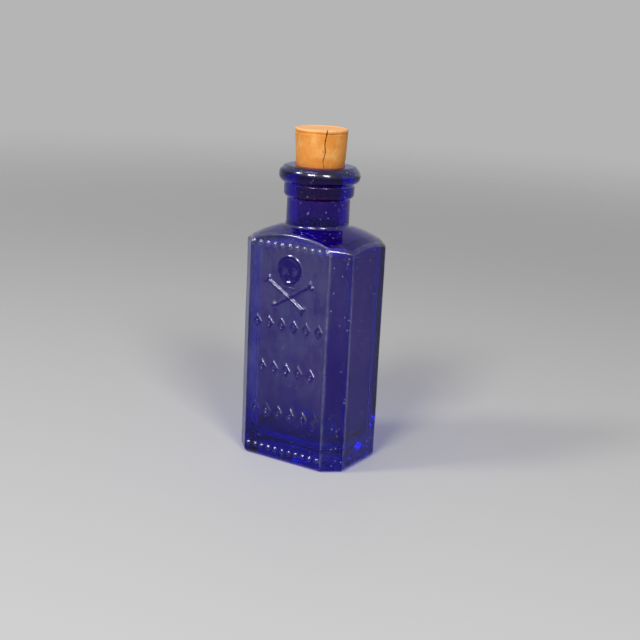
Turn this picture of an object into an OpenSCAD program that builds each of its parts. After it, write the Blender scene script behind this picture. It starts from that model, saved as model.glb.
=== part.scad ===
/* [Body] */
// Width of the glass body across its front
body_w = 30.6; // [28:0.1:34]
// Depth of the glass body from front to back
body_d = 22.7; // [21:0.1:26]
// Flat cut across each upright corner, measured along the front
corner_cut = 3.7; // [2.6:0.1:4.2]
// Rounding of the upright edges
edge_r = 0.8; // [0.4:0.1:1.2]
// Rounding of the heel, where the walls meet the base
heel_r = 1.2; // [0.6:0.1:1.6]
// Height at which the neck springs from the shoulder
shoulder_h = 58.5; // [56:0.5:66]
// Radius of the domed shoulder
dome_r = 32; // [28:1:45]
// Thickness of the glass walls
wall = 2.2; // [1.6:0.1:2.8]
// Thickness of the glass floor
floor_t = 4; // [3:0.1:6]
// Rounding of the upright corners inside
inner_corner_r = 2.4; // [1.4:0.1:3]
// Width of the shallow dish under the base
dish_w = 14; // [10:0.5:17]
// Depth of the shallow dish under the base
dish_depth = 0.5; // [0.3:0.1:1]

/* [Neck] */
// Outer diameter of the neck
neck_d = 15.3; // [15:0.1:16]
// Length of the bare neck under the collar
neck_h = 6.8; // [5:0.1:10]
// Concave rounding where the neck springs from the shoulder
neck_fillet = 1.1; // [0.6:0.1:1.6]
// Outer diameter of the collar ring
collar_d = 17.1; // [16.4:0.1:18]
// Height of the collar ring
collar_h = 3.4; // [2.6:0.1:4.4]
// Rounding of the collar's lower edge
collar_edge_r = 1.3; // [0.6:0.1:1.6]
// Outer diameter of the rounded lip
lip_d = 19.7; // [19.4:0.1:21]
// Height of the rounded lip
lip_h = 4.3; // [4.3:0.1:5]
// Radius of the lip's rounding, seen in section
lip_r = 2.1; // [1.8:0.05:2.1]
// Inner diameter of the neck
bore_d = 10.6; // [10:0.1:11]
// Diameter of the mouth that the stopper fills
mouth_d = 12; // [11.4:0.1:12.4]
// Bevel round the mouth's inner edge
mouth_ease = 0.4; // [0.2:0.1:0.6]

/* [Stopper] */
// Growth of the stopper's diameter for each millimetre of height
stopper_taper = 0.117; // [0.1:0.001:0.14]
// Height of the stopper that stands above the lip
stopper_proud = 8.9; // [6:0.1:12]
// Length of the stopper that sits inside the mouth
stopper_depth = 7.8; // [6:0.1:10]
// Clearance between the stopper and the mouth, on the radius
stopper_gap = 0.04; // [0.02:0.01:0.08]
// Rounding of the stopper's top edge
stopper_top_r = 0.5; // [0.3:0.1:0.8]
// Rounding of the stopper's bottom edge
stopper_end_r = 0.6; // [0.3:0.1:0.9]
// Distance of the moulding groove below the stopper's top
groove_drop = 1.1; // [0.9:0.1:2]
// Depth of the moulding groove
groove_depth = 0.14; // [0.08:0.01:0.25]
// Width of the age crack at the surface
crack_w = 0.28; // [0.2:0.02:0.4]
// Depth of the age crack
crack_depth = 0.9; // [0.5:0.1:1.4]

/* [Relief] */
// Height that the moulded relief stands proud of the panel
relief_h = 0.45; // [0.3:0.05:0.7]
// Diameter of one bead in the border rows
bead_d = 1.3; // [1:0.05:1.6]
// Distance between neighbouring beads
bead_pitch = 2.1; // [1.8:0.05:2.6]
// Distance of the upper bead row below the shoulder's corner
bead_inset = 0.75; // [0.7:0.05:1.4]
// Height of the lower bead row above the base
bead_base = 2.8; // [2.2:0.1:4]
// Width of the skull across its crown
skull_w = 7.6; // [6.5:0.1:8.4]
// Distance of the skull's eye line below the upper bead row
skull_drop = 5.9; // [5.4:0.1:6.6]
// Distance of the bones' crossing below the eye line
cross_drop = 6.5; // [6.1:0.1:7]
// Length of one crossed bone, end to end
bone_len = 13.4; // [11:0.1:14.5]
// Thickness of a bone's shaft
bone_d = 1; // [0.8:0.05:1.3]
// Thickness of the knobs at a bone's ends
knob_d = 1.35; // [1.1:0.05:1.6]
// Distance of the first lozenge row below the bones' crossing
row_drop = 7; // [6.6:0.1:8]
// Distance between the lozenge rows
row_pitch = 11.2; // [9.6:0.1:11.8]
// Height of one lozenge
lozenge_h = 3.9; // [3.2:0.1:4.4]
// Width of one lozenge
lozenge_w = 2.8; // [2.4:0.1:3.1]
// Distance between neighbouring lozenges
lozenge_pitch = 3.55; // [3.3:0.05:4]
// Width of a lozenge's raised rim
lozenge_rim = 0.55; // [0.4:0.05:0.8]

/* [Hidden] */
$fn = 96;

cobalt = [0.05, 0.03, 0.42];
terracotta = [0.86, 0.48, 0.2];

through = 1; // how far a cut runs past the face that it opens
rooted = wall / 2; // how deep the relief and the neck are rooted in the glass
spill = 0.01; // how far a rounding runs past the faces that it joins, so that they cross cleanly

half_d = body_d / 2;
neck_r = neck_d / 2;
collar_r = collar_d / 2;
bore_r = bore_d / 2;
mouth_r = mouth_d / 2;
slope = stopper_taper / 2;

collar_z = shoulder_h + neck_h;
lip_z = collar_z + collar_h;
glass_h = lip_z + lip_h;
dome_z = shoulder_h - sqrt(dome_r * dome_r - neck_r * neck_r);
inner_dome_r = dome_r - wall;
panel_w = body_w - 2 * corner_cut;
flat_w = panel_w - 2 * edge_r * tan(22.5);
corner_z = dome_height(norm([panel_w / 2, half_d]));

top_row_z = corner_z - bead_inset;
skull_z = top_row_z - skull_drop;
cross_z = skull_z - cross_drop;
row_z = cross_z - row_drop;
row_count = floor((flat_w - lozenge_w) / lozenge_pitch) + 1;
bead_count = floor((flat_w - bead_d) / bead_pitch) + 1;
bone_tilt = 32;
bone_shift = 1.2; // how far a bone's middle lies above the crossing, along the bone

// The crack's line as [sideways, height above the lip], from the top down
crack_line = [[0.8, 9.4], [0.7, 8], [0.1, 5.6], [0.1, 4.4], [-0.3, 2.6], [-0.4, 1], [-0.1, -1.5]];
crack_side = 42; // compass angle of the crack, from the front towards the right

// Height of the shoulder's dome at a distance from the neck's axis
function dome_height(r) = dome_z + sqrt(dome_r * dome_r - r * r);

// Radius of the stopper's seat in the mouth at a height
function seat_radius(z) = mouth_r + slope * (z - glass_h);

// Radius of the stopper's side at a height
function side_radius(z) = seat_radius(z) - stopper_gap;

// What a rounding takes off an upright edge of 135 degrees, seen from the rounding's middle
module edge_waste(r) {
    chord = 2 * r * sin(22.5);
    difference() {
        translate([r * cos(22.5), -chord / 2]) square([r / 3, chord]);
        circle(r + spill);
    }
}

// A rectangle with cut corners whose eight edges are rounded by arcs
module cut_rectangle(w, d, cut, r) {
    p = w / 2 - cut;
    q = d / 2 - cut;
    t = r * tan(22.5);
    difference() {
        polygon([
            [-p, -d / 2], [p, -d / 2], [w / 2, -q], [w / 2, q],
            [p, d / 2], [-p, d / 2], [-w / 2, q], [-w / 2, -q]
        ]);
        for (mx = [0, 1], my = [0, 1])
            mirror([mx, 0]) mirror([0, my]) {
                translate([w / 2 - r, q - t]) rotate(22.5) edge_waste(r);
                translate([p - t, d / 2 - r]) rotate(67.5) edge_waste(r);
            }
    }
}

// What a rounding takes off the foot of a wall that stands at a distance from the axis
module heel_waste(reach, r, z0, run) {
    rotate([90, 0, 0])
        linear_extrude(run, center = true)
            difference() {
                translate([reach - r, z0 - through]) square(r + through);
                translate([reach - r, z0 + r]) circle(r + spill);
            }
}

// A block with cut corners and a rounded heel under all eight walls
module block(w, d, cut, edge, heel, z0, z1) {
    diagonal = (w + d - 2 * cut) / sqrt(2);
    widths = [w, diagonal, d, diagonal];
    difference() {
        translate([0, 0, z0]) linear_extrude(z1 - z0) cut_rectangle(w, d, cut, edge);
        for (k = [0 : 7])
            rotate([0, 0, 45 * k]) heel_waste(widths[k % 4] / 2, heel, z0, w + d);
    }
}

// A drum with a domed top, wide enough that only the dome cuts the body
module dome(r) {
    cylinder(r = r, h = dome_z);
    translate([0, 0, dome_z]) sphere(r);
}

module body_block() {
    intersection() {
        block(body_w, body_d, corner_cut, edge_r, heel_r, 0, shoulder_h);
        dome(dome_r);
    }
}

// The neck, the collar ring and the rounded lip, filled to the axis
module finish() {
    foot_z = dome_height(neck_r + neck_fillet) - rooted;
    rotate_extrude() {
        translate([0, foot_z]) square([neck_r, lip_z - foot_z]);
        difference() {
            translate([0, foot_z])
                square([neck_r + neck_fillet, shoulder_h + neck_fillet - foot_z]);
            translate([neck_r + neck_fillet, shoulder_h + neck_fillet]) circle(neck_fillet);
        }
        translate([0, collar_z]) square([collar_r - collar_edge_r, collar_h]);
        translate([0, collar_z + collar_edge_r]) square([collar_r, collar_h - collar_edge_r]);
        translate([collar_r - collar_edge_r, collar_z + collar_edge_r]) circle(collar_edge_r);
        translate([0, lip_z]) square([lip_d / 2 - lip_r, lip_h]);
        translate([lip_d / 2 - lip_r, glass_h - lip_r]) circle(lip_r);
    }
}

// The room inside the body, under its own domed ceiling
module cavity() {
    intersection() {
        block(body_w - 2 * wall, body_d - 2 * wall, corner_cut, inner_corner_r,
              inner_corner_r, floor_t, shoulder_h);
        dome(inner_dome_r);
    }
}

// The bore of the neck and the tapered seat in the mouth
module throat() {
    ceiling = dome_z + sqrt(inner_dome_r * inner_dome_r - bore_r * bore_r);
    seat_z = glass_h - (mouth_r - bore_r) / slope;
    ease_z = glass_h - mouth_ease;
    rotate_extrude()
        polygon([
            [0, ceiling - through], [bore_r, ceiling - through], [bore_r, seat_z],
            [seat_radius(ease_z), ease_z], [mouth_r + mouth_ease, glass_h],
            [mouth_r + mouth_ease, glass_h + through], [0, glass_h + through]
        ]);
}

module base_dish() {
    r = (dish_w * dish_w / 4 + dish_depth * dish_depth) / (2 * dish_depth);
    translate([0, 0, dish_depth - r]) sphere(r);
}

// Places a flat drawing on the front panel, with its Y pointing up the bottle
module on_panel(x = 0, z = 0) {
    translate([x, -half_d, z]) rotate([90, 0, 0]) children();
}

// A round plate with a domed face, from its height at the rim to its height in the middle
module swelling(w, rise, rim = 0) {
    dome = rise - rim;
    r = (w * w / 4 + dome * dome) / (2 * dome);
    intersection() {
        translate([0, 0, rise - r]) sphere(r);
        translate([0, 0, -rooted]) cylinder(d = w, h = rooted + rise);
    }
}

// A raised plate of a flat outline
module raised(rise) {
    translate([0, 0, -rooted]) linear_extrude(rooted + rise) children();
}

module bead_row(z) {
    for (i = [0 : bead_count - 1])
        on_panel((i - (bead_count - 1) / 2) * bead_pitch, z) swelling(bead_d, relief_h);
}

module rhombus(w, h) {
    polygon([[-w / 2, 0], [0, -h / 2], [w / 2, 0], [0, h / 2]]);
}

// A raised lozenge with a sunk field and a bead at its middle
module lozenge() {
    rim = lozenge_rim * norm([lozenge_w, lozenge_h]);
    raised(relief_h)
        difference() {
            rhombus(lozenge_w, lozenge_h);
            rhombus(lozenge_w - 2 * rim / lozenge_h, lozenge_h - 2 * rim / lozenge_w);
        }
    swelling(bead_d / 2, relief_h);
}

module lozenge_row(z, count) {
    for (i = [0 : count - 1])
        on_panel((i - (count - 1) / 2) * lozenge_pitch, z) lozenge();
}

// A domed crown over a square jaw, with sunk eyes, nose and gaps between the teeth
module skull() {
    crown_y = skull_w * 0.06;
    crown_rise = 1.3 * relief_h;
    jaw_w = skull_w * 0.5;
    jaw_h = skull_w * 0.42;
    jaw_y = -1.5 * jaw_h;
    eye_x = skull_w * 0.21;
    eye_r = skull_w * 0.22;
    nose_w = skull_w * 0.15;
    nose_y = skull_w * -0.3;
    tooth_gap = skull_w * 0.045;
    tooth_h = jaw_h * 0.55;
    difference() {
        union() {
            translate([0, crown_y]) swelling(skull_w, crown_rise, relief_h * 0.7);
            translate([0, jaw_y]) raised(relief_h) translate([-jaw_w / 2, 0]) square([jaw_w, jaw_h]);
        }
        for (side = [-1, 1])
            translate([side * eye_x, 0, relief_h + eye_r / 2]) sphere(eye_r);
        translate([0, nose_y, relief_h * 0.3])
            linear_extrude(crown_rise)
                polygon([[-nose_w / 2, 0], [nose_w / 2, 0], [0, 1.2 * nose_w]]);
        for (gap = [-1, 0, 1])
            translate([gap * jaw_w / 4 - tooth_gap / 2, jaw_y - through, relief_h * 0.4])
                cube([tooth_gap, tooth_h + through, relief_h]);
    }
}

module bone() {
    knob = bone_len / 2 - knob_d / 2;
    translate([0, 0, relief_h - bone_d / 2])
        rotate([0, 90, 0]) cylinder(d = bone_d, h = 2 * knob, center = true);
    for (end = [-1, 1], side = [-1, 1])
        translate([end * knob, side * knob_d * 0.4, relief_h - knob_d / 2]) sphere(d = knob_d);
}

module crossed_bones() {
    for (side = [-1, 1])
        on_panel(0, cross_z)
            rotate([0, 0, side * bone_tilt]) translate([side * bone_shift, 0, 0]) bone();
}

module relief() {
    bead_row(top_row_z);
    bead_row(bead_base);
    on_panel(0, skull_z) skull();
    crossed_bones();
    lozenge_row(row_z, row_count);
    lozenge_row(row_z - row_pitch, row_count - 1);
    lozenge_row(row_z - 2 * row_pitch, row_count);
}

module glass_bottle() {
    color(cobalt)
        difference() {
            union() {
                body_block();
                finish();
                relief();
            }
            cavity();
            throat();
            base_dish();
        }
}

// The crack's jagged outline, drawn flat with its Y pointing up the stopper
module crack_outline() {
    polygon(concat(
        [for (p = crack_line) [p[0] - crack_w / 2, p[1]]],
        [for (i = [len(crack_line) - 1 : -1 : 0]) [crack_line[i][0] + crack_w / 2, crack_line[i][1]]]
    ));
}

// The stopper's section, from its axis out
module stopper_section() {
    low = glass_h - stopper_depth;
    high = glass_h + stopper_proud;
    groove_z = high - groove_drop;
    difference() {
        union() {
            polygon([
                [0, low], [side_radius(low) - stopper_end_r, low],
                [side_radius(low + stopper_end_r), low + stopper_end_r],
                [side_radius(high - stopper_top_r), high - stopper_top_r],
                [side_radius(high) - stopper_top_r, high], [0, high]
            ]);
            translate([side_radius(low + stopper_end_r) - stopper_end_r, low + stopper_end_r])
                circle(stopper_end_r);
            translate([side_radius(high - stopper_top_r) - stopper_top_r, high - stopper_top_r])
                circle(stopper_top_r);
        }
        translate([side_radius(groove_z), groove_z])
            rotate(45) square(groove_depth * sqrt(2), center = true);
    }
}

module rubber_stopper() {
    face_r = seat_radius(glass_h + stopper_proud);
    color(terracotta)
        difference() {
            rotate_extrude() stopper_section();
            rotate([0, 0, crack_side])
                translate([0, crack_depth - seat_radius(glass_h), glass_h])
                    rotate([90, 0, 0]) linear_extrude(face_r) crack_outline();
        }
}

glass_bottle();
rubber_stopper();
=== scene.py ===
import math

import bpy
import numpy as np
from bpy.props import FloatProperty, FloatVectorProperty, IntProperty, PointerProperty
from mathutils import Matrix, Vector


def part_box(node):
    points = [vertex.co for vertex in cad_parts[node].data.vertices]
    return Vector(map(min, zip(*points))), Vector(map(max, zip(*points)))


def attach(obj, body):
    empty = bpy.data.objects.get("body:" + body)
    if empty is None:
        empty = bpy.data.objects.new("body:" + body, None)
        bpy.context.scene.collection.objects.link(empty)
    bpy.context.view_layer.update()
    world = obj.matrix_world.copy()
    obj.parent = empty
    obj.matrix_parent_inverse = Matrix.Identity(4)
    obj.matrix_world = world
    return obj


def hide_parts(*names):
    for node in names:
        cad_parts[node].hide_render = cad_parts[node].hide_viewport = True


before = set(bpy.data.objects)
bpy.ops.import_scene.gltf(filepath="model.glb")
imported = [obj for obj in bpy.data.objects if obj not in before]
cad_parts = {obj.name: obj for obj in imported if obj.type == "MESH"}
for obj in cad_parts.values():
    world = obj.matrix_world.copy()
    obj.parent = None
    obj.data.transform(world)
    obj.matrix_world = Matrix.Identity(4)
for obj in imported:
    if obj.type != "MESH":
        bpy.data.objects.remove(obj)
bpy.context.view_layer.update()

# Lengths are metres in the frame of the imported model. The base stands on z = 0, the neck
# is on the z axis and the panel with the relief faces -Y. Angles round the axis are taken
# from the front towards the right.

bl_info = {
    "name": "Poison bottle looks",
    "version": (1, 0, 0),
    "blender": (4, 5, 0),
    "location": "View3D > Sidebar > Bottle",
    "description": "Builds a small cobalt glass bottle with a rubber stopper",
    "category": "Object",
}

MM = 0.001
GLASS_LOW, GLASS_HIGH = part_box("glass_bottle")
STOPPER_LOW, STOPPER_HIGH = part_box("rubber_stopper")
HALF_W = GLASS_HIGH.x
HALF_D = GLASS_HIGH.y
GLASS_TOP = GLASS_HIGH.z
RELIEF_TOP = -GLASS_LOW.y - HALF_D


def length(name, description, size, low=0.0):
    """A setting that is a length."""
    return FloatProperty(
        name=name, description=description, default=size, min=low, unit="LENGTH", precision=5
    )


def share(name, description, size):
    """A setting from 0 to 1."""
    return FloatProperty(
        name=name, description=description, default=size, min=0, max=1, subtype="FACTOR"
    )


def colour(name, description, *rgb):
    """A setting that is a linear colour."""
    return FloatVectorProperty(
        name=name, description=description, default=rgb, min=0, max=1, size=3, subtype="COLOR"
    )


class GlassSettings(bpy.types.PropertyGroup):
    """Sizes and colours of the glass bottle."""

    corner_cut: length("Corner cut", "Flat cut across each upright corner", 3.7 * MM)
    extra_cut: length("Extra cut", "Wider cut of the front right corner, along the front", 0.6 * MM)
    edge_radius: length("Edge rounding", "Rounding of the upright edges", 0.6 * MM)
    back_radius: length("Back rounding", "Rounding of the upright edges at the back", 2 * MM)
    heel_radius: length("Heel rounding", "Rounding where the walls meet the base", 1.2 * MM)
    brow_radius: length("Shoulder edge", "Rounding where the walls meet the shoulder", 0.75 * MM)
    shoulder_z: length("Shoulder height", "Height at which the neck springs", 58.5 * MM)
    dome_radius: length("Dome radius", "Radius of the domed shoulder", 32 * MM)
    neck_radius: length("Neck radius", "Outer radius of the neck", 7.65 * MM)
    neck_fillet: length("Neck fillet", "Rounding at the foot of the neck", 1.1 * MM)
    collar_z: length("Collar height", "Height of the collar ring's lower edge", 65.3 * MM)
    collar_radius: length("Collar radius", "Outer radius of the collar ring", 8.55 * MM)
    lip_z: length("Lip height", "Height of the groove under the lip", 68.7 * MM)
    lip_radius: length("Lip radius", "Outer radius of the lip", 9.85 * MM)
    mouth_radius: length("Mouth radius", "Radius of the mouth at the lip's top", 6 * MM)
    bore_radius: length("Bore radius", "Inner radius of the neck", 5.3 * MM)
    seat_foot: length("Seat foot", "Height at which the tapered seat meets the bore", 61 * MM)
    wall: length("Wall", "Thickness of the walls", 2.2 * MM)
    floor: length("Floor", "Thickness of the floor", 4.4 * MM)
    inner_corner: length("Inner corner", "Rounding of the corners inside", 2.8 * MM)
    inner_heel: length("Inner heel", "Rounding between the walls and the floor inside", 5.5 * MM)
    dish_radius: length("Dish radius", "Radius of the shallow dish under the base", 7 * MM)
    dish_depth: length("Dish depth", "Depth of the shallow dish under the base", 0.5 * MM)
    sink: length("Sink", "How far the panels sink in their middle", 0.12 * MM)
    sway: length("Sway", "Waviness of the outer faces", 0.035 * MM)
    inner_sway: length("Inner sway", "Waviness of the inner faces", 0.22 * MM)
    seeds: IntProperty(name="Seeds", description="Air bubbles in the glass", default=110, min=0)
    tint: colour("Tint", "Colour of light that crosses the glass surface", 0.54, 0.32, 0.50)
    depth_colour: colour("Depth colour", "Colour of light deep in the glass", 0.40, 0.006, 0.985)
    depth_density: FloatProperty(
        name="Depth density", description="Absorption per metre of glass", default=900, min=0
    )
    gloss: colour("Gloss", "Colour of what the glass mirrors", 0.42, 0.36, 0.85)
    # This colour also paints pale highlights on the right-hand upright edges and on the relief's
    # flanks.
    film: colour("Film", "Colour of the dull film on the front panel", 0.42, 0.46, 0.56)
    haze: share("Haze", "Strength of the dull film on the front panel", 0.085)
    through: colour("Through", "Colour of lamp light past the surface", 0.38, 0.27, 0.62)


class ReliefSettings(bpy.types.PropertyGroup):
    """Sizes of the moulded relief on the front panel."""

    rise: length("Rise", "Height of the beads, bones and lozenges", 0.55 * MM)
    bead_radius: length("Bead radius", "Radius of a border bead", 0.72 * MM)
    bead_pitch: length("Bead pitch", "Distance between the upper beads", 2.1 * MM)
    low_pitch: length("Lower pitch", "Distance between the lower beads", 2.03 * MM)
    bead_shift: length("Bead shift", "How far the rows lie off the middle", -0.25 * MM, -1)
    bead_count: IntProperty(name="Beads", description="Beads in a row", default=11, min=1)
    bead_high: length("Upper beads", "Height of the upper bead row", 54.4 * MM)
    bead_low: length("Lower beads", "Height of the lower bead row", 2.8 * MM)
    skull_width: length("Skull width", "Width of the crown", 7.6 * MM)
    skull_z: length("Skull height", "Height of the eye line", 48.5 * MM)
    cross_z: length("Crossing height", "Height of the bones' crossing", 42 * MM)
    bone_length: length("Bone length", "Length of a bone, end to end", 13.4 * MM)
    bone_tilt: FloatProperty(
        name="Bone tilt",
        description="Slope of a bone",
        default=math.radians(32),
        subtype="ANGLE",
        unit="ROTATION",
    )
    bone_shift: length("Bone shift", "How far a bone's middle lies above the crossing", 1.2 * MM)
    lozenge_width: length("Lozenge width", "Width of a lozenge", 2.9 * MM)
    lozenge_height: length("Lozenge height", "Height of a lozenge", 4.0 * MM)
    lozenge_pitch: length("Lozenge pitch", "Distance between lozenges", 3.55 * MM)
    row_z: length("Lozenge row", "Height of the first lozenge row", 35 * MM)
    row_pitch: length("Row pitch", "Distance between lozenge rows", 11.2 * MM)


class StopperSettings(bpy.types.PropertyGroup):
    """Sizes and colours of the rubber stopper."""

    slope: FloatProperty(
        name="Slope", description="Growth of the radius with height", default=0.0585, min=0
    )
    rim_radius: length("Rim", "Rounding of the top edge", 0.45 * MM)
    end_radius: length("End", "Rounding of the bottom edge", 0.6 * MM)
    hollow: length("Hollow", "How far the top sinks inside its rim", 0.16 * MM)
    groove_drop: length("Groove drop", "Distance of the groove below the top", 0.95 * MM)
    groove_depth: length("Groove depth", "Depth of the groove", 0.13 * MM)
    crack_depth: length("Crack depth", "Depth of the age crack", 0.9 * MM)
    crack_width: length("Crack width", "Half width of the age crack at the top", 0.17 * MM)
    rubber: colour("Rubber", "Colour of the rubber", 0.63, 0.225, 0.027)
    bleached: colour("Bleached", "Colour where the rubber has faded", 0.73, 0.33, 0.085)
    # Painted light: this lighter colour paints the top of the stopper lighter, as light from above
    # would; it also colours small pale chips.
    chips_and_painted_top_light: colour("Top", "Colour of the dusty top", 0.78, 0.41, 0.17)
    # This colour also paints the shade where the stopper meets the glass.
    darkened_and_mouth_shade: colour("Darkened", "Colour where the rubber has darkened", 0.52, 0.15, 0.015)
    # Painted shade: this dark colour paints the shade inside the crack and the groove.
    crack_shade_colour: colour("Grime", "Colour inside the crack and the groove", 0.10, 0.03, 0.012)


class StageSettings(bpy.types.PropertyGroup):
    """The floor, the lamps and the camera."""

    pale: colour("Pale", "Colour of the floor and the background", 0.46, 0.46, 0.46)
    ambient: FloatProperty(name="Ambient", description="Light from all round", default=0.35, min=0)
    key: FloatProperty(name="Key", description="Power of the front box", default=3.8, min=0)
    left: FloatProperty(name="Left", description="Power of the left box", default=2.2, min=0)
    right: FloatProperty(name="Right", description="Power of the right box", default=3.4, min=0)
    top: FloatProperty(name="Top", description="Power of the overhead box", default=0.5, min=0)
    azimuth: FloatProperty(
        name="Azimuth",
        description="Where the camera stands, from the front towards the right",
        default=math.radians(32.1),
        subtype="ANGLE",
        unit="ROTATION",
    )
    elevation: FloatProperty(
        name="Elevation",
        description="How far the camera looks down",
        default=math.radians(14.95),
        subtype="ANGLE",
        unit="ROTATION",
    )
    roll: FloatProperty(
        name="Roll",
        description="How far the camera leans",
        default=math.radians(2.75),
        subtype="ANGLE",
        unit="ROTATION",
    )
    distance: length("Distance", "From the camera to its target", 298.8 * MM)
    target_x: length("Target offset", "Where the camera aims, right of the axis", 0.15 * MM, -1)
    target_y: length("Target depth", "Where the camera aims, behind the axis", 3.0 * MM, -1)
    target_z: length("Target height", "Height of the camera's aim", 33.77 * MM)
    lens: FloatProperty(name="Lens", description="Focal length", default=67.0, min=1)


# Shader graphs


class Value:
    """One output of a shader node, usable in ordinary arithmetic."""

    def __init__(self, graph, socket):
        self.graph = graph
        self.socket = socket

    def maths(self, operation, *terms):
        """Adds a maths node, or a vector one where a term is a vector."""
        vector = any(isinstance(t, Value) and t.socket.type == "VECTOR" for t in terms)
        kind = "ShaderNodeVectorMath" if vector else "ShaderNodeMath"
        if vector:
            terms = [t if isinstance(t, (Value, tuple)) else (t, t, t) for t in terms]
        return self.graph.node(kind, {"operation": operation}, dict(enumerate(terms)))

    def __add__(self, other):
        return self.maths("ADD", self, other)

    def __radd__(self, other):
        return self.maths("ADD", other, self)

    def __sub__(self, other):
        return self.maths("SUBTRACT", self, other)

    def __rsub__(self, other):
        return self.maths("SUBTRACT", other, self)

    def __mul__(self, other):
        return self.maths("MULTIPLY", self, other)

    def __rmul__(self, other):
        return self.maths("MULTIPLY", other, self)

    def __pow__(self, other):
        return self.maths("POWER", self, other)

    def greatest(self, other):
        return self.maths("MAXIMUM", self, other)

    def step(self, low, high):
        """0 below low, 1 above high and smooth between, or falling where high is the lower."""
        falling = low > high
        inputs = {
            "Value": self,
            "From Min": min(low, high),
            "From Max": max(low, high),
            "To Min": float(falling),
            "To Max": 1.0 - falling,
        }
        return self.graph.node(
            "ShaderNodeMapRange", {"interpolation_type": "SMOOTHSTEP"}, inputs
        )

    def parts(self):
        """The x, y and z of a vector."""
        split = self.graph.node("ShaderNodeSeparateXYZ", {}, {0: self})
        return [Value(self.graph, out) for out in split.socket.node.outputs]


class Graph:
    """A node tree that is filled by calls."""

    def __init__(self, tree):
        self.tree = tree
        tree.nodes.clear()

    def node(self, kind, settings, inputs, output=0):
        """Adds a node with its settings and inputs and returns one of its outputs."""
        made = self.tree.nodes.new(kind)
        for name, value in settings.items():
            setattr(made, name, value)
        for name, value in inputs.items():
            socket = made.inputs[name]
            if isinstance(value, Value):
                self.tree.links.new(value.socket, socket)
            elif socket.type == "RGBA" and len(value) == 3:
                socket.default_value = (*value, 1)
            else:
                socket.default_value = value
        return Value(self, made.outputs[output]) if made.outputs else None

    def place(self):
        """The point on the object, in metres."""
        return self.node("ShaderNodeTexCoord", {}, {}, "Object")

    def noise(self, place, size, detail=2.0, roughness=0.5, stretch=(1, 1, 1)):
        """Noise with features of about one size, in metres, stretched along the axes."""
        scaled = place * tuple(1 / (size * s) for s in stretch)
        return self.node(
            "ShaderNodeTexNoise",
            {},
            {"Vector": scaled, "Scale": 1.0, "Detail": detail, "Roughness": roughness},
        )

    def cells(self, place, size, output="Distance"):
        """Scattered cells of about one size, in metres."""
        return self.node(
            "ShaderNodeTexVoronoi", {}, {"Vector": place * (1 / size), "Scale": 1.0}, output
        )

    def attribute(self, name):
        """A value kept on the mesh."""
        return self.node("ShaderNodeAttribute", {"attribute_name": name}, {}, "Fac")

    def mix(self, factor, first, second):
        """A colour between two others."""
        return self.node(
            "ShaderNodeMix", {"data_type": "RGBA"}, {0: factor, 6: first, 7: second}, 2
        )

    def bump(self, height, distance, strength=1.0, normal=None):
        """A normal that is roughened by a height from 0 to 1, worth a distance in metres."""
        inputs = {"Height": height, "Distance": distance, "Strength": strength}
        if normal is not None:
            inputs["Normal"] = normal
        return self.node("ShaderNodeBump", {}, inputs)


def new_material(name):
    """A material and the graph that fills it."""
    material = bpy.data.materials.new(name)
    material.use_nodes = True
    return material, Graph(material.node_tree)


# Meshes

# How finely the skins are made: the points along each side of the body's outline, from the
# front round to the left, and the rings of each stretch from the base to the neck
OUTLINE_POINTS = (168, 8, 22, 8, 34, 8, 22, 8)
BASE_RINGS = 22
ARC_RINGS = 8
WALL_RINGS = 400
DOME_RINGS = 30
CEILING_RINGS = 20
INNER_WALL_RINGS = 90
INNERMOST = 0.06  # the first ring round a pole, as a share of the outline
DOME_SWAY = 1.6  # how much wavier the shoulder is than the walls
BORE_FLARE = 1.5 * MM  # how far the bore widens where it meets the ceiling


def add_object(name, points, faces):
    """A smooth shaded object from points and faces."""
    mesh = bpy.data.meshes.new(name)
    mesh.from_pydata(points.tolist(), [], faces)
    mesh.shade_smooth()
    made = bpy.data.objects.new(name, mesh)
    bpy.context.scene.collection.objects.link(made)
    return made


def keep_values(piece, name, values):
    """Keeps one value for each point of a mesh, for its material."""
    kept = piece.data.attributes.new(name, "FLOAT", "POINT")
    kept.data.foreach_set("value", np.asarray(values, dtype=np.float32))


def shell(rings):
    """Points and faces of a closed skin through rings of points, with a pole at either end."""
    rings = np.array(rings)
    count, size = rings.shape[:2]
    poles = [rings[0].mean(axis=0), rings[-1].mean(axis=0)]
    points = np.concatenate([rings.reshape(-1, 3), poles])
    here = np.arange(size)
    ahead = np.roll(here, -1)
    start = np.arange(count - 1)[:, None] * size
    quads = np.stack(
        [start + here, start + ahead, start + size + ahead, start + size + here], axis=-1
    ).reshape(-1, 4)
    last = (count - 1) * size
    first_pole = np.full(size, count * size)
    caps = np.concatenate(
        [
            np.stack([first_pole, ahead, here], axis=-1),
            np.stack([last + here, last + ahead, first_pole + 1], axis=-1),
        ]
    )
    return points, quads.tolist() + caps.tolist()


def smooth(low, high, value):
    """0 below low, 1 above high and smooth between."""
    t = np.clip((value - low) / (high - low), 0, 1)
    return t * t * (3 - 2 * t)


def ripple(points, size, seed, waves=10):
    """Smooth noise from -1 to 1 at points, with swells of about one size."""
    random = np.random.default_rng(seed)
    ways = random.normal(size=(waves, 3))
    spans = np.linalg.norm(ways, axis=1)
    ways *= (math.pi / size * random.uniform(0.5, 1.3, waves) / spans)[:, None]
    phases = random.uniform(0, 2 * math.pi, waves)
    swells = np.sin(points @ ways.T + phases).sum(axis=-1)
    return np.clip(swells / math.sqrt(waves), -1, 1)


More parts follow.
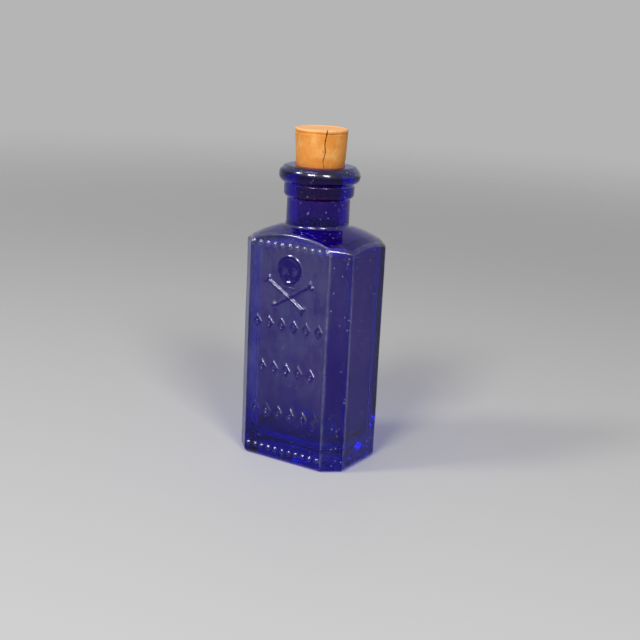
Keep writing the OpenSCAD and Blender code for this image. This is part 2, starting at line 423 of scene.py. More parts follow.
def rounded_outline(corners, radii, edge_counts, arc_steps=6):
    """Points and outward normals round a polygon with rounded corners, anticlockwise."""
    corners = np.array(corners)
    ways = np.roll(corners, -1, axis=0) - corners
    ways /= np.linalg.norm(ways, axis=1)[:, None]
    outs = np.stack([ways[:, 1], -ways[:, 0]], axis=1)
    turns = [math.acos(ways[k - 1] @ ways[k]) for k in range(len(corners))]
    reaches = [radius * math.tan(turn / 2) for radius, turn in zip(radii, turns)]
    points, normals = [], []
    for k, (corner, radius) in enumerate(zip(corners, radii)):
        centre = corner - ways[k - 1] * reaches[k] - outs[k - 1] * radius
        for angle in np.linspace(0, turns[k], arc_steps + 1):
            normal = outs[k - 1] * math.cos(angle) + ways[k - 1] * math.sin(angle)
            points.append(centre + radius * normal)
            normals.append(normal)
        after = (k + 1) % len(corners)
        finish = corners[after] - ways[k] * reaches[after]
        for t in np.arange(1, edge_counts[k]) / edge_counts[k]:
            points.append((centre + radius * outs[k]) * (1 - t) + finish * t)
            normals.append(outs[k])
    return np.array(points), np.array(normals)


def rounded_path(corners, arc_steps=7, longest=1.2 * MM):
    """Points along a line of (distance from the axis, height, rounding) corners."""
    spots = np.array([corner[:2] for corner in corners])
    kept = [spots[0]]
    for k in range(1, len(spots) - 1):
        radius = corners[k][2]
        into, out = (spots[k] - spots[k - 1]), (spots[k + 1] - spots[k])
        into, out = into / np.linalg.norm(into), out / np.linalg.norm(out)
        turn = math.acos(np.clip(into @ out, -1, 1))
        side = 1 if into[0] * out[1] - into[1] * out[0] > 0 else -1
        left = np.array([-into[1], into[0]]) * side
        centre = spots[k] - into * radius * math.tan(turn / 2) + left * radius
        for angle in np.linspace(0, turn, arc_steps + 1):
            kept.append(centre + radius * (into * math.sin(angle) - left * math.cos(angle)))
    kept.append(spots[-1])
    path = [kept[0]]
    for spot in kept[1:]:
        gap = np.linalg.norm(spot - path[-1])
        pieces = max(1, math.ceil(gap / longest))
        begin = path[-1]
        path.extend(begin + (spot - begin) * t for t in np.arange(1, pieces + 1) / pieces)
    return np.array(path)


# The relief on the front panel, as heights over x and z in millimetres


def ridge(distance, half_width, rise):
    """A ridge with straight slopes and a soft crest, along a line that is a distance away."""
    climb = np.clip(1 - np.abs(distance) / half_width, 0, 1)
    return rise * np.clip(1.25 * climb - 0.3 * climb**4, 0, 1)


def cap(distance, radius, rise):
    """A bead with a straight flank and a soft top, whose middle is a distance away."""
    climb = np.clip(1 - distance / radius, 0, 1)
    return rise * np.clip(1.6 * climb - 0.6 * climb**2.2, 0, 1)


def bevel(low, high, value):
    """0 below low, 1 above high and straight between, with a soft foot and crest."""
    t = np.clip((value - low) / (high - low), 0, 1)
    return 0.75 * t + 0.25 * smooth(0, 1, t)


def segment_distance(x, z, begin, end):
    """How far points are from a straight line between two others."""
    span = np.subtract(end, begin)
    t = np.clip(((x - begin[0]) * span[0] + (z - begin[1]) * span[1]) / (span @ span), 0, 1)
    return np.hypot(x - begin[0] - t * span[0], z - begin[1] - t * span[1])


def bead_rows(x, z, s):
    """The rows of beads along the top and the foot of the panel."""
    height = np.zeros_like(x)
    for row, pitch in ((s.bead_high, s.bead_pitch), (s.bead_low, s.low_pitch)):
        for k in range(s.bead_count):
            middle = ((k - (s.bead_count - 1) / 2) * pitch + s.bead_shift) / MM
            away = np.hypot(x - middle, z - row / MM)
            height = np.maximum(height, cap(away, s.bead_radius / MM, s.rise / MM))
    return height


def crossed_bones(x, z, s):
    """Two bones with a pair of knobs at each end."""
    height = np.zeros_like(x)
    half_width, knob_radius, knob_spread, knob_inset = 0.6, 0.74, 0.55, 0.68
    reach = s.bone_length / MM / 2 - knob_inset
    for side in (-1, 1):
        way = np.array([side * math.cos(s.bone_tilt), math.sin(s.bone_tilt)])
        across = np.array([-way[1], way[0]])
        middle = np.array([0, s.cross_z / MM]) + way * s.bone_shift / MM
        begin, end = middle - way * reach, middle + way * reach
        shaft = ridge(segment_distance(x, z, begin, end), half_width, s.rise / MM)
        height = np.maximum(height, shaft)
        for tip in (begin, end):
            for lean in (-1, 1):
                spot = tip + across * lean * knob_spread
                away = np.hypot(x - spot[0], z - spot[1])
                height = np.maximum(height, cap(away, knob_radius, s.rise / MM * 1.1))
    return height


def skull(x, z, s):
    """A domed crown that narrows over the cheeks to a square jaw with two rows of teeth.

    Its features are placed as shares of the crown's half width, up from the eye line.
    """
    half = s.skull_width / MM / 2
    z = z - s.skull_z / MM
    away = np.hypot(x, (z - 0.12 * half) * 1.02)
    crown = half - away
    levels = np.array([-1.3, -1.15, -0.7, -0.2, 0]) * half
    widths = np.array([0.44, 0.52, 0.56, 0.86, 1]) * half
    waist = np.interp(z, levels, widths)
    jaw = np.minimum(waist - np.abs(x), np.minimum(z + 1.25 * half, 0.3 * half - z))
    edge = np.maximum(crown, jaw)
    dome = 1 - np.clip(away / half, 0, 1.25) ** 2
    top = RELIEF_TOP / MM - 0.01
    height = (0.55 * bevel(0, 0.5, edge) + 0.35 * bevel(0.95, 1.4, edge) + 0.1 * dome) * top
    height *= edge > 0
    for side in (-1, 1):
        socket = np.hypot((x - side * 0.42 * half) / 0.32, (z + 0.02 * half) / 0.29) / half
        height *= 1 - 0.72 * bevel(1.15, 0.35, socket)
        inner_end = (side * 0.12 * half, 0.34 * half)
        outer_end = (side * 0.72 * half, 0.26 * half)
        brow = ridge(segment_distance(x, z, inner_end, outer_end), 0.42, top)
        height = np.where(edge > 0.4, np.maximum(height, brow), height)
    nose = np.maximum(np.abs(x) * 1.5 + (z + 0.36 * half), -(z + 0.66 * half) * 1.4)
    height *= 1 - 0.75 * smooth(0.14, -0.1, nose)
    teeth = (z < -0.74 * half) & (z > -1.3 * half)
    gaps = np.min([np.abs(x - k * 0.19 * half) for k in range(-2, 3)], axis=0)
    height *= 1 - 0.6 * teeth * smooth(0.17, 0.02, gaps)
    bite = smooth(0.2, 0.04, np.abs(z + 0.97 * half)) * (np.abs(x) < 0.5 * half)
    return height * (1 - 0.75 * bite)


def lozenge_rows(x, z, s):
    """Rows of six, five and six upright lozenges, each a raised rim round a bead."""
    height = np.zeros_like(x)
    wide, high = s.lozenge_width / MM / 2, s.lozenge_height / MM / 2
    reach = wide * high / math.hypot(wide, high)
    rim_inset, rim_half_width, bead_radius = 0.42, 0.46, 0.42
    for row, count in enumerate((6, 5, 6)):
        dz = z - (s.row_z - row * s.row_pitch) / MM
        for k in range(count):
            dx = x - (k - (count - 1) / 2) * s.lozenge_pitch / MM
            edge = (np.abs(dx) / wide + np.abs(dz) / high - 1) * reach
            rim = ridge(edge + rim_inset, rim_half_width, s.rise / MM * 0.85)
            bead = cap(np.hypot(dx, dz), bead_radius, s.rise / MM * 0.9)
            height = np.maximum(height, np.maximum(rim, bead))
    return height


def relief_height(x, z, s):
    """Height of the relief over the front panel, in metres."""
    spots = np.stack([x, np.zeros_like(x), z], axis=-1)
    x = x / MM + 0.05 * ripple(spots, 2.5 * MM, seed=11)
    z = z / MM + 0.05 * ripple(spots, 2.5 * MM, seed=12)
    drawn = [draw(x, z, s) for draw in (bead_rows, crossed_bones, skull, lozenge_rows)]
    worn = 0.93 + 0.07 * ripple(spots, 4 * MM, seed=13)
    return np.maximum.reduce(drawn) * worn * MM


# The pieces


def body_outline(corner_cut, front_radius, back_radius, inset=0, extra_cut=0):
    """The body's outline in plan, drawn in from its widest by an inset, and its normals."""
    w, d = HALF_W - inset, HALF_D - inset
    p, q = w - corner_cut, d - corner_cut
    corners = [(-p, -d), (p - extra_cut, -d), (w, -q), (w, q), (p, d), (-p, d), (-w, q), (-w, -q)]
    radii = [front_radius] * 3 + [back_radius] * 4 + [front_radius]
    return rounded_outline(corners, radii, OUTLINE_POINTS)


def dome_height(s, radius, drop=0.0):
    """Height of the domed shoulder at a distance from the axis, or of the ceiling below it."""
    middle = s.shoulder_z - math.sqrt(s.dome_radius**2 - s.neck_radius**2)
    return middle + np.sqrt((s.dome_radius - drop) ** 2 - radius**2)


def ring(xy, z):
    """A ring of points from its plan and its height."""
    return np.column_stack([xy, np.broadcast_to(z, len(xy))])


def outer_rings(s, relief):
    """Rings from the middle of the base up the walls to the foot of the neck."""
    plan, out = body_outline(
        s.corner_cut, s.edge_radius, s.back_radius, extra_cut=s.extra_cut
    )
    reach = np.linalg.norm(plan, axis=1)
    ways = plan / reach[:, None]
    rings = []
    for t in np.linspace(INNERMOST, 1, BASE_RINGS)[:-1]:
        xy = (plan - out * s.heel_radius) * t
        sunk = np.clip(1 - (np.linalg.norm(xy, axis=1) / s.dish_radius) ** 2, 0, 1)
        rings.append(ring(xy, s.dish_depth * sunk))
    for angle in np.linspace(0, math.pi / 2, ARC_RINGS):
        inset = s.heel_radius * (1 - math.sin(angle))
        rings.append(ring(plan - out * inset, s.heel_radius * (1 - math.cos(angle))))
    crest = dome_height(s, reach)
    front = out[:, 1] < -0.999
    panel = np.abs(out).max(axis=1) > 0.999
    mid = np.where(np.abs(out[:, 0]) > 0.9, plan[:, 1] / HALF_D, plan[:, 0] / HALF_W)
    for t in np.linspace(0, 1, WALL_RINGS)[1:]:
        z = s.heel_radius + (crest - s.brow_radius - s.heel_radius) * t
        flat = ring(plan, z)
        sunk = s.sink * np.clip(1 - (mid / 0.8) ** 2, 0, 1) * math.sin(math.pi * t) ** 0.5 * panel
        fade = smooth(0, 0.05, t) * smooth(1, 0.95, t)
        sunk = sunk + s.sway * (1 + ripple(flat, 9 * MM, seed=3)) * fade
        raised = np.where(front, relief_height(plan[:, 0], z, relief), 0)
        rings.append(ring(plan + out * (raised - sunk)[:, None], z))
    brow = dome_height(s, reach - s.brow_radius)
    for t in np.linspace(0, 1, ARC_RINGS)[1:]:
        z = (1 - t) ** 2 * (crest - s.brow_radius) + 2 * t * (1 - t) * crest + t * t * brow
        raised = np.where(front, relief_height(plan[:, 0], z, relief), 0) * (1 - t * t)
        drawn_in = ways * (reach - s.brow_radius * t * t)[:, None]
        rings.append(ring(drawn_in + out * raised[:, None], z))
    foot = s.neck_radius + 1.6 * s.neck_fillet
    for t in np.linspace(0, 1, DOME_RINGS)[1:]:
        radius = (reach - s.brow_radius) * (1 - t) + foot * t
        flat = ring(ways * radius[:, None], dome_height(s, radius))
        flat[:, 2] -= s.sway * DOME_SWAY * (1 + ripple(flat, 7 * MM, seed=4)) * smooth(0, 0.2, t)
        rings.append(flat)
    return rings, ways, foot


def finish_rings(s, ways, foot):
    """Rings up the neck, over the collar and the lip, and down the mouth and the bore."""
    bore_end = s.bore_radius + BORE_FLARE
    path = rounded_path(
        [
            (foot, dome_height(s, foot) - s.sway * DOME_SWAY, 0),
            (s.neck_radius, s.shoulder_z + 0.1 * MM, s.neck_fillet),
            (s.neck_radius, s.collar_z, 0.25 * MM),
            (s.collar_radius, s.collar_z + 0.35 * MM, 1.1 * MM),
            (s.collar_radius, s.lip_z - 0.25 * MM, 0.4 * MM),
            (s.collar_radius - 0.25 * MM, s.lip_z + 0.2 * MM, 0.2 * MM),
            (s.lip_radius, s.lip_z + 0.5 * MM, 1.55 * MM),
            (s.lip_radius, GLASS_TOP, 2.05 * MM),
            (s.mouth_radius, GLASS_TOP, 0.5 * MM),
            (s.bore_radius, s.seat_foot, 2 * MM),
            (s.bore_radius, dome_height(s, s.bore_radius, s.wall) + 0.2 * MM, 1.2 * MM),
            (bore_end, dome_height(s, bore_end, s.wall), 0),
        ],
        arc_steps=9,
        longest=0.5 * MM,
    )
    rings = []
    for k, (radius, z) in enumerate(path[1:]):
        flat = ring(ways * radius, z)
        outside = smooth(foot, foot - MM, radius)
        outside *= smooth(s.mouth_radius + 0.6 * MM, s.mouth_radius + 1.2 * MM, radius)
        if radius > s.neck_radius + MM and z > s.collar_z:
            outside = 1.0
        flat[:, :2] += ways * (s.sway * 1.5 * outside * ripple(flat, 6 * MM, seed=5))[:, None]
        if z > s.lip_z:
            flat[:, 2] -= s.sway * outside * (1 + ripple(flat, 8 * MM, seed=6))
        if z < s.seat_foot and k > len(path) // 2:
            flat[:, :2] += ways * (s.sway * 2 * ripple(flat, 4 * MM, seed=7))[:, None]
        rings.append(flat)
    return rings


def inner_rings(s, ways):
    """Rings from the foot of the bore along the ceiling, down the walls and over the floor."""
    plan, out = body_outline(s.corner_cut, s.inner_corner, s.inner_corner, inset=s.wall)
    soft = 2 * MM  # rounding between the walls and the ceiling
    start = ways * (s.bore_radius + BORE_FLARE)
    edge = plan - out * soft
    rings = []
    for t in np.linspace(0, 1, CEILING_RINGS)[1:]:
        xy = start * (1 - t) + edge * t
        rings.append(ring(xy, dome_height(s, np.linalg.norm(xy, axis=1), s.wall)))
    crest = dome_height(s, np.linalg.norm(edge, axis=1), s.wall)
    for angle in np.linspace(0, math.pi / 2, ARC_RINGS)[1:]:
        inset = soft * (1 - math.sin(angle))
        rings.append(ring(plan - out * inset, crest - soft * (1 - math.cos(angle))))
    low = s.floor + s.inner_heel
    for t in np.linspace(0, 1, INNER_WALL_RINGS)[1:]:
        z = (crest - soft) * (1 - t) + low * t
        flat = ring(plan, z)
        fade = smooth(0, 0.08, t) * smooth(1, 0.92, t)
        sway = s.inner_sway * ripple(flat, 7 * MM, seed=8) * fade
        rings.append(ring(plan + out * sway[:, None], z))
    heel_width = s.inner_heel * 0.6
    for angle in np.linspace(0, math.pi / 2, ARC_RINGS)[1:]:
        inset = heel_width * (1 - math.cos(angle))
        rings.append(ring(plan - out * inset, low - s.inner_heel * math.sin(angle)))
    for t in np.linspace(1, INNERMOST, BASE_RINGS)[1:]:
        xy = (plan - out * heel_width) * t
        rings.append(ring(xy, s.floor + 0.7 * MM * (1 - t * t)))
    return rings


def seed_bubbles(s):
    """Places and sizes of small air bubbles inside the glass.

    A third of them lie in the neck, a third in the front and the back and a third in the sides.
    """
    random = np.random.default_rng(21)
    spots = []
    neck_mid = (s.neck_radius + s.bore_radius + 0.4 * MM) / 2
    for k in range(s.seeds):
        size = random.uniform(0.07, 0.2) * MM
        if k % 3 == 0:
            turn = random.uniform(0, 2 * math.pi)
            radius = neck_mid + random.uniform(-0.5, 0.5) * MM
            z = random.uniform(s.shoulder_z, s.lip_z + 2 * MM)
            spots.append((radius * math.cos(turn), radius * math.sin(turn), z, size))
            continue
        deep = s.wall * random.uniform(0.35, 0.6)
        z = random.uniform(3, 53) * MM
        along = random.uniform(-1, 1)
        side = random.choice([-1, 1])
        if k % 3 == 1:
            spots.append((along * (HALF_W - 5 * MM), side * (HALF_D - deep), z, size))
        else:
            spots.append((side * (HALF_W - deep), along * (HALF_D - 5 * MM), z, size))
    return spots


def add_bubbles(points, faces, spots, columns=10, rows=6):
    """Adds hollow beads to a skin, faced inwards because the glass is outside them."""
    turns = np.arange(columns) * 2 * math.pi / columns
    circle = np.column_stack([np.cos(turns), np.sin(turns)])
    lifts = np.linspace(-1, 1, rows + 2)[1:-1] * math.pi / 2
    bead = [ring(circle * math.cos(lift), 1.5 * math.sin(lift)) for lift in lifts]
    bead_points, bead_faces = shell(bead)
    bead_points[-2:, 2] *= 1.12
    bead_faces = [face[::-1] for face in bead_faces]
    pieces = [points]
    start = len(points)
    for x, y, z, size in spots:
        pieces.append(bead_points * size + (x, y, z))
        faces.extend([[start + v for v in face] for face in bead_faces])
        start += len(bead_points)
    return np.concatenate(pieces), faces


def glass_material(s):
    """Deep cobalt glass with a dull film, fine waves, scuffs and specks, and pale painted
    highlights on its right-hand upright edges and on the relief's flanks.
    """
    material, g = new_material("cobalt_glass")
    place = g.place()
    x, y, z = place.parts()
    inside = g.attribute("inside")
    rubbed = g.attribute("rubbed")
    # The edge value marks where pale highlights are painted, and where the coat is thicker.
    edge = g.attribute("edge")

    # The film lies on the front panel between the relief, and thinly on the cut corner
    front = y.step(-(HALF_D - 0.5 * MM), -(HALF_D - 0.25 * MM))
    raised = y.step(-(HALF_D - 0.05 * MM), -(HALF_D + 0.12 * MM))
    chamfer = x.step(HALF_W - 4.6 * MM, HALF_W - 4.2 * MM)
    chamfer *= y.step(-(HALF_D - 4 * MM), -(HALF_D - 3.7 * MM))
    patches = g.noise(place, 7 * MM, 3.0, 0.6)
    smears = g.noise(place, 2.2 * MM, 4.0, 0.65, (1, 1, 2.6))
    film = (patches * 0.65 + smears * 0.5).step(0.38, 0.78)
    dull = front * (1 - raised) * (0.04 + 0.96 * z.step(6 * MM, 25 * MM))
    dull = dull.greatest(chamfer * (1 - inside) * z.step(20 * MM, 40 * MM) * 0.3)

    # Wear, waves and specks
    wear = g.noise(place, 1.3 * MM, 1.0, 0.5).step(0.38, 0.6)
    scuffs = g.noise(place, 0.5 * MM, 2.0, 0.5, (1, 1, 14)).step(0.66, 0.74)
    specks = g.cells(place, 1.3 * MM).step(0.1, 0.05)
    orange_peel = g.noise(place, 1.1 * MM, 2.0, 0.5)
    swell = g.noise(place, 4.5 * MM, 1.0, 0.4)
    motes = g.cells(place, 1.2 * MM).step(0.16, 0.1)
    motes *= g.noise(place, 5 * MM, 1.0).step(0.42, 0.54)
    normal = g.bump(swell, 0.09 * MM)
    normal = g.bump(orange_peel, 0.008 * MM, 1.0, normal)
    normal = g.bump(specks, 0.02 * MM, 0.7, normal)
    glass = g.node(
        "ShaderNodeBsdfPrincipled",
        {},
        {
            "Base Color": s.tint,
            "Roughness": 0.015 + 0.03 * film + 0.04 * scuffs + 0.2 * inside,
            "IOR": 1.52,
            "Transmission Weight": 1.0,
            "Specular Tint": s.gloss,
            "Coat Weight": rubbed * (0.95 + 0.4 * wear) + edge * 0.6,
            "Coat Roughness": 0.19,
            "Coat IOR": 1.5,
            "Normal": normal,
        },
    )
    deep = g.node(
        "ShaderNodeVolumeAbsorption", {}, {"Color": s.depth_colour, "Density": s.depth_density}
    )
    # A pale matt layer in the film's colour, for the dull film, the motes and the painted
    # highlights.
    dust_and_highlight_layer = g.node(
        "ShaderNodeBsdfPrincipled",
        {},
        {"Base Color": s.film, "Roughness": 0.9, "Specular IOR Level": 0.1, "Normal": normal},
    )
    dust_and_painted_highlight = dull * s.haze * (0.35 + 0.65 * film)
    # Painted highlight: a pale layer on the right-hand upright edges and on the relief's flanks.
    dust_and_painted_highlight += edge * (0.02 + 0.08 * wear)
    dust_and_painted_highlight += motes * (1 - inside) * (0.42 - 0.28 * front)
    filmed_and_highlighted = g.node("ShaderNodeMixShader", {}, {0: dust_and_painted_highlight, 1: glass, 2: dust_and_highlight_layer})
    shadow = g.node("ShaderNodeLightPath", {}, {}, "Is Shadow Ray")
    clear = g.node("ShaderNodeBsdfTransparent", {}, {"Color": s.through})
    surface = g.node("ShaderNodeMixShader", {}, {0: shadow, 1: filmed_and_highlighted, 2: clear})
    g.node("ShaderNodeOutputMaterial", {}, {"Surface": surface, "Volume": deep})
    return material


def mark_wear_and_painted_highlights(glass, points, outer, s, relief):
    """Keeps on the glass where it is rubbed bright, and where a pale layer paints highlights on the
    upright edges and on the relief's flanks.
    """
    normals = np.empty(points.size, dtype=np.float32)
    glass.data.vertex_normals.foreach_get("vector", normals)
    normals = normals.reshape(-1, 3)
    facing, rise = -normals[:, 1], normals[:, 2]

    upward = smooth(0.15, 0.45, normals @ (0.45, 0, 0.89))
    upward *= smooth(0.06, 0.2, rise) * smooth(0.9, 0.82, rise)
    keep_values(glass, "rubbed", upward * outer)

    # An upright edge is where the skin turns between two of the body's eight flat sides
    turned = np.degrees(np.arctan2(normals[:, 0], facing))
    off_flat = np.abs((turned + 22.5) % 45 - 22.5)
    right_hand = points[:, 0] > HALF_W - s.corner_cut - 1.2 * MM
    # Painted highlight: the right-hand upright edges get a pale layer that paints thin bright lines
    # on them.
    upright = smooth(3, 10, off_flat) * right_hand * (np.abs(rise) < 0.3)
    on_upper_row = abs(points[:, 2] - relief.bead_high) < relief.bead_radius
    # Painted highlight: the relief's flanks, most of all on the upper bead row, get a pale layer
    # that paints glints and bright rings on them.
    flank = smooth(0.96, 0.85, facing) * (facing > 0.4) * np.where(on_upper_row, 1.6, 0.25)
    flank *= points[:, 1] < -(HALF_D - 0.5 * MM)
    keep_values(glass, "edge", np.maximum(upright, flank) * outer)


class BOTTLE_OT_glass(bpy.types.Operator):
    """Builds the glass bottle with its relief, its hollow and its mouth."""

    bl_idname = "bottle.glass"
    bl_label = "Glass bottle"

    def execute(self, context):
        s, relief = context.scene.bottle_glass, context.scene.bottle_relief
        rings, ways, foot = outer_rings(s, relief)
        rings += finish_rings(s, ways, foot)
        outer_count = sum(len(one) for one in rings)
        rings += inner_rings(s, ways)
        skin, faces = shell(rings)
        points, faces = add_bubbles(skin, faces, seed_bubbles(s))
        glass = add_object("glass", points, faces)
        inside = np.zeros(len(points))
        inside[outer_count : len(skin)] = 1
        inside[len(skin) - 2] = 0  # the pole under the base
        keep_values(glass, "inside", inside)
        mark_wear_and_painted_highlights(glass, points, np.arange(len(points)) < outer_count, s, relief)
        glass.data.materials.append(glass_material(s))
        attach(glass, "bottle")
        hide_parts("glass_bottle")
        return {"FINISHED"}


# The age crack and its two side branches, each a run of (degrees round the axis, millimetres
# above the lip, share of the full width)
MAIN_CRACK = (
    (46, 9.2, 1.5),
    (45.4, 8.8, 1.3),
    (43.6, 7.7, 1.0),
    (41.3, 6.4, 0.9),
    (40.5, 5.4, 0.75),
    (42.4, 4.3, 0.8),
    (42.9, 3.5, 0.75),
    (40.0, 2.5, 0.65),
    (38.4, 1.6, 0.6),
    (39.3, 0.8, 0.55),
    (41.8, 0.1, 0.5),
    (41, -2, 0.2),
)
LEFT_BRANCH = ((42.7, 4.0, 0.5), (38.5, 3.6, 0.45), (35.5, 3.9, 0.2))
RIGHT_BRANCH = ((40.3, 2.6, 0.4), (43.5, 1.9, 0.3), (44.5, 1.2, 0.1))
CRACK_MIDDLE = math.radians(41.5)
CRACK_REACH = 0.16  # half the width of the strip that holds the crack, in radians
TOP_CRACK = math.radians(45.8)  # where the crack runs in over the top


def crack_depth_at(turn, z, radius, s):
    """How deep the crack cuts at points of the side, from 0 to 1."""
    depth = np.zeros(np.broadcast(turn, z, radius).shape)
    across, up = turn * radius / MM, z / MM
    for line in (MAIN_CRACK, LEFT_BRANCH, RIGHT_BRANCH):
        for (a0, z0, w0), (a1, z1, w1) in zip(line, line[1:]):
            begin = (math.radians(a0) * radius / MM, z0)
            end = (math.radians(a1) * radius / MM, z1)
            away = segment_distance(across, up, begin, end)
            width = s.crack_width / MM * (w0 + w1) / 2
            depth = np.maximum(depth, smooth(width, 0, away) * min(1, (w0 + w1) / 1.6))
    return depth


def stopper_rings(s):
    """Rings of the stopper from the middle of its end to that of its top, and how much shade is
    painted at their points in the crack and the groove.
    """
    high, low = STOPPER_HIGH.z, STOPPER_LOW.z
    top_radius = STOPPER_HIGH.x
    fine = np.linspace(-CRACK_REACH, CRACK_REACH, 160) + CRACK_MIDDLE
    begin, end = CRACK_MIDDLE + CRACK_REACH, CRACK_MIDDLE + 2 * math.pi - CRACK_REACH
    turns = np.concatenate([fine, np.linspace(begin, end, 200)[1:-1]])
    signed = (turns + math.pi) % (2 * math.pi) - math.pi
    ways = np.column_stack([np.sin(turns), -np.cos(turns)])
    rim = s.rim_radius
    innermost = 0.4 * MM
    path = rounded_path(
        [
            (innermost, low, 0),
            (top_radius - s.slope * (high - low), low, s.end_radius),
            (top_radius, high, rim),
            (top_radius - 1.5 * rim, high, 0.2 * MM),
            (top_radius - 2.3 * rim, high - s.hollow, 0.5 * MM),
            (innermost, high - s.hollow * 0.8, 0),
        ],
        arc_steps=8,
        longest=0.12 * MM,
    )
    rings, painted_crack_shade = [], []
    for radius, z in path:
        on_side = radius > top_radius - s.slope * (high - z) - 0.02 * MM and z > low + MM
        groove = on_side * math.exp(-(((high - s.groove_drop - z) / (0.13 * MM)) ** 2))
        flat = ring(ways * radius, z)
        pitted = 0.05 * MM * (1 + ripple(flat, 3 * MM, seed=31))
        pitted += 0.02 * MM * (1 + ripple(flat, 0.9 * MM, seed=32))
        if radius > 3 * MM:
            cut = crack_depth_at(signed, z - GLASS_TOP, radius, s)
        else:
            cut = np.zeros(len(turns))
        shrink = pitted * smooth(2 * MM, 4 * MM, radius) + groove * s.groove_depth
        if z > high - rim and radius < top_radius - rim:
            inward = smooth(3.6 * MM, 5.8 * MM, radius)
            line = np.abs(signed - TOP_CRACK - 0.03 * math.sin(radius / MM * 3))
            cut = smooth(0.2 * MM, 0, line * radius) * inward
            flat[:, 2] -= cut * s.crack_depth * inward
        else:
            shrink = shrink + cut * s.crack_depth
        flat[:, :2] -= ways * shrink[:, None]
        flat[:, 2] -= 0.03 * MM * (1 + ripple(flat, 2.4 * MM, seed=33))
        rings.append(flat)
        # Painted shade: the groove is painted darker.
        painted_groove_shade = 0.55 * groove * (0.6 + 0.4 * ripple(flat, 2 * MM, seed=34))
        painted_crack_shade.append(np.maximum(cut, painted_groove_shade))
    return rings, painted_crack_shade


def stopper_material(s):
    """Aged rubber, faded and darkened in patches and pitted, with painted shade in its crack, its
    groove and where it meets the glass, and its top painted lighter.
    """
    material, g = new_material("aged_rubber")
    place = g.place()
    z = place.parts()[2]
    clouds = g.noise(place, 3.2 * MM, 4.0, 0.6)
    grain = g.noise(place, 0.35 * MM, 3.0, 0.6)
    chips = g.cells(place, 0.8 * MM).step(0.14, 0.06)
    streaks = g.noise(place, 1.2 * MM, 3.0, 0.6, (1, 1, 3))
    pores = g.cells(place, 0.55 * MM).step(0.22, 0.08)
    chosen = g.noise(place, 1.7 * MM, 1.0).step(0.52, 0.6)
    specks = g.cells(place, 1.1 * MM).step(0.1, 0.05)
    crack = g.attribute("crack")
    base = g.mix(clouds.step(0.42, 0.72), s.rubber, s.bleached)
    # Painted light: the top is painted lighter.
    base = g.mix(z.step(STOPPER_HIGH.z - 0.7 * MM, STOPPER_HIGH.z - 0.2 * MM) * 0.8, base, s.chips_and_painted_top_light)
    base = g.mix(streaks.step(0.55, 0.85) * 0.55, base, s.darkened_and_mouth_shade)
    # Painted shade: the rubber is painted darker where it meets the glass's lip and goes into the
    # mouth.
    base = g.mix((GLASS_TOP + 0.9 * MM - z).step(0, 0.9 * MM) * 0.6, base, s.darkened_and_mouth_shade)
    base = g.mix(pores * chosen * 0.45 + specks * 0.6, base, s.darkened_and_mouth_shade)
    base = g.mix(chips * 0.5, base, s.chips_and_painted_top_light)
    # Painted shade inside the crack and the groove.
    base = g.mix(crack.step(0.12, 0.7), base, s.crack_shade_colour)
    height = grain * 0.5 + clouds * 0.3 - pores * chosen * 0.6
    normal = g.bump(height, 0.05 * MM, 0.8)
    rubber = g.node(
        "ShaderNodeBsdfPrincipled",
        {},
        {
            "Base Color": base,
            "Roughness": 0.5 + 0.22 * grain + 0.12 * clouds,
            "Specular IOR Level": 0.35,
            "Sheen Weight": 0.05,
            "Sheen Roughness": 0.5,
            "Normal": normal,
        },
    )
    g.node("ShaderNodeOutputMaterial", {}, {"Surface": rubber})
    return material


class BOTTLE_OT_stopper(bpy.types.Operator):
    """Builds the rubber stopper with its rim, its groove and its age crack."""

    bl_idname = "bottle.stopper"
    bl_label = "Rubber stopper"

    def execute(self, context):
        s = context.scene.bottle_stopper
        rings, painted_crack_shade = stopper_rings(s)
        points, faces = shell(rings)
        stopper = add_object("stopper", points, faces)
        keep_values(stopper, "crack", np.concatenate([*painted_crack_shade, [0, 0]]))
        stopper.data.materials.append(stopper_material(s))
        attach(stopper, "stopper")
        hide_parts("rubber_stopper")
        return {"FINISHED"}


# The stage

# The soft boxes as (setting that holds the power, width and height in metres, degrees round
# the axis, degrees above the floor)
BOXES = (
    ("key", 0.22, 0.17, 8, 40),
    ("left", 0.16, 0.16, -42, 43),
    ("right", 0.19, 0.22, 54, 37),
    ("top", 0.3, 0.3, -20, 72),
)
BOX_DISTANCE = 0.8
FLOOR_RADIUS = 1.5
FLOOR_SIDES = 96
FLOOR_GAP = 0.03 * MM  # keeps the glass and the floor out of one plane


def way_towards(azimuth, elevation):
    """A direction from the bottle outwards, from its angles in radians."""
    a, e = azimuth, elevation
    return Vector((math.sin(a) * math.cos(e), -math.cos(a) * math.cos(e), math.sin(e)))


def add_lamp(name, power, wide, high, azimuth, elevation):
    """A soft box that faces the middle of the bottle."""
    lamp = bpy.data.lights.new(name, "AREA")
    lamp.shape = "RECTANGLE"
    lamp.size, lamp.size_y = wide, high
    lamp.energy = power
    placed = bpy.data.objects.new(name, lamp)
    bpy.context.scene.collection.objects.link(placed)
    back = way_towards(math.radians(azimuth), math.radians(elevation))
    placed.location = back * BOX_DISTANCE + Vector((0, 0, GLASS_TOP / 2))
    placed.rotation_euler = (-back).to_track_quat("-Z", "Y").to_euler()


def add_camera(s):
    """The camera, which leans a little, as the settings place it."""
    camera = bpy.data.objects.new("camera", bpy.data.cameras.new("camera"))
    bpy.context.scene.collection.objects.link(camera)
    camera.data.lens = s.lens
    camera.data.clip_start = 0.01
    back = way_towards(s.azimuth, s.elevation)
    level = Vector((math.cos(s.azimuth), math.sin(s.azimuth), 0))
    lift = back.cross(level)
    right = level * math.cos(s.roll) + lift * math.sin(s.roll)
    up = back.cross(right)
    place = Vector((s.target_x, s.target_y, s.target_z)) + back * s.distance
    turned = Matrix((right, up, back)).transposed().to_4x4()
    camera.matrix_world = Matrix.Translation(place) @ turned
    return camera


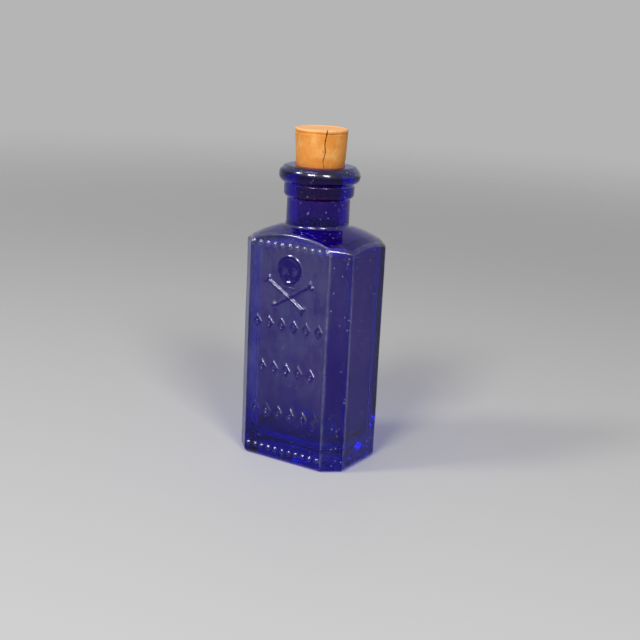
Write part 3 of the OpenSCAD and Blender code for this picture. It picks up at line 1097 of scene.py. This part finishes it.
def floor_material(s):
    """Pale matt paper that fades into the background far out."""
    material, g = new_material("paper")
    place = g.place()
    x, y = place.parts()[:2]
    far = ((x * x + y * y) ** 0.5).step(0.16, 0.75)
    fibres = g.noise(place, 0.8 * MM, 3.0, 0.6)
    paper = g.node(
        "ShaderNodeBsdfPrincipled",
        {},
        {
            "Base Color": s.pale,
            "Roughness": 0.6 + 0.1 * fibres,
            "Normal": g.bump(fibres, 0.02 * MM, 0.3),
        },
    )
    clear = g.node("ShaderNodeBsdfTransparent", {}, {})
    mixed = g.node("ShaderNodeMixShader", {}, {0: far, 1: paper, 2: clear})
    g.node("ShaderNodeOutputMaterial", {}, {"Surface": mixed})
    return material


class BOTTLE_OT_stage(bpy.types.Operator):
    """Sets up the floor, the background, the soft boxes and the camera."""

    bl_idname = "bottle.stage"
    bl_label = "Stage"

    def execute(self, context):
        scene = context.scene
        s = scene.bottle_stage
        turns = np.linspace(0, 2 * math.pi, FLOOR_SIDES, endpoint=False)
        circle = np.column_stack([np.cos(turns), np.sin(turns)]) * FLOOR_RADIUS
        points = np.concatenate([ring(circle, 0.0), [[0, 0, 0]]]) - (0, 0, FLOOR_GAP)
        faces = [[k, (k + 1) % FLOOR_SIDES, FLOOR_SIDES] for k in range(FLOOR_SIDES)]
        floor = add_object("floor", points, faces)
        floor.data.materials.append(floor_material(s))

        scene.world = bpy.data.worlds.new("studio")
        scene.world.use_nodes = True
        g = Graph(scene.world.node_tree)
        seen = g.node("ShaderNodeLightPath", {}, {}, "Is Camera Ray")
        rays = seen.socket.node.outputs
        seen = seen.greatest(Value(g, rays["Is Glossy Ray"]))
        seen = seen.greatest(Value(g, rays["Is Transmission Ray"]))
        strength = s.ambient + seen * (1.0 - s.ambient)
        sky = g.node("ShaderNodeBackground", {}, {"Color": s.pale, "Strength": strength})
        g.node("ShaderNodeOutputWorld", {}, {"Surface": sky})

        for name, *placing in BOXES:
            add_lamp(name, getattr(s, name), *placing)
        scene.view_settings.view_transform = "Standard"
        scene.camera = add_camera(s)
        return {"FINISHED"}


class BOTTLE_PT_panel(bpy.types.Panel):
    """Lists the sizes and colours, and the buttons that build each piece."""

    bl_label = "Poison bottle"
    bl_idname = "BOTTLE_PT_panel"
    bl_space_type = "VIEW_3D"
    bl_region_type = "UI"
    bl_category = "Bottle"

    def draw(self, context):
        for group in GROUPS:
            box = self.layout.box()
            settings = getattr(context.scene, group)
            for name in settings.__annotations__:
                box.prop(settings, name)
            if group in BUTTONS:
                box.operator(BUTTONS[group])


GROUPS = {
    "bottle_glass": GlassSettings,
    "bottle_relief": ReliefSettings,
    "bottle_stopper": StopperSettings,
    "bottle_stage": StageSettings,
}
BUTTONS = {
    "bottle_relief": "bottle.glass",
    "bottle_stopper": "bottle.stopper",
    "bottle_stage": "bottle.stage",
}
CLASSES = (*GROUPS.values(), BOTTLE_OT_glass, BOTTLE_OT_stopper, BOTTLE_OT_stage, BOTTLE_PT_panel)


def register():
    for kind in CLASSES:
        bpy.utils.register_class(kind)
    for name, kind in GROUPS.items():
        setattr(bpy.types.Scene, name, PointerProperty(type=kind))


def unregister():
    for name in GROUPS:
        delattr(bpy.types.Scene, name)
    for kind in reversed(CLASSES):
        bpy.utils.unregister_class(kind)


def main():
    register()
    bpy.ops.bottle.glass()
    bpy.ops.bottle.stopper()
    bpy.ops.bottle.stage()


if __name__ == "__main__":
    main()
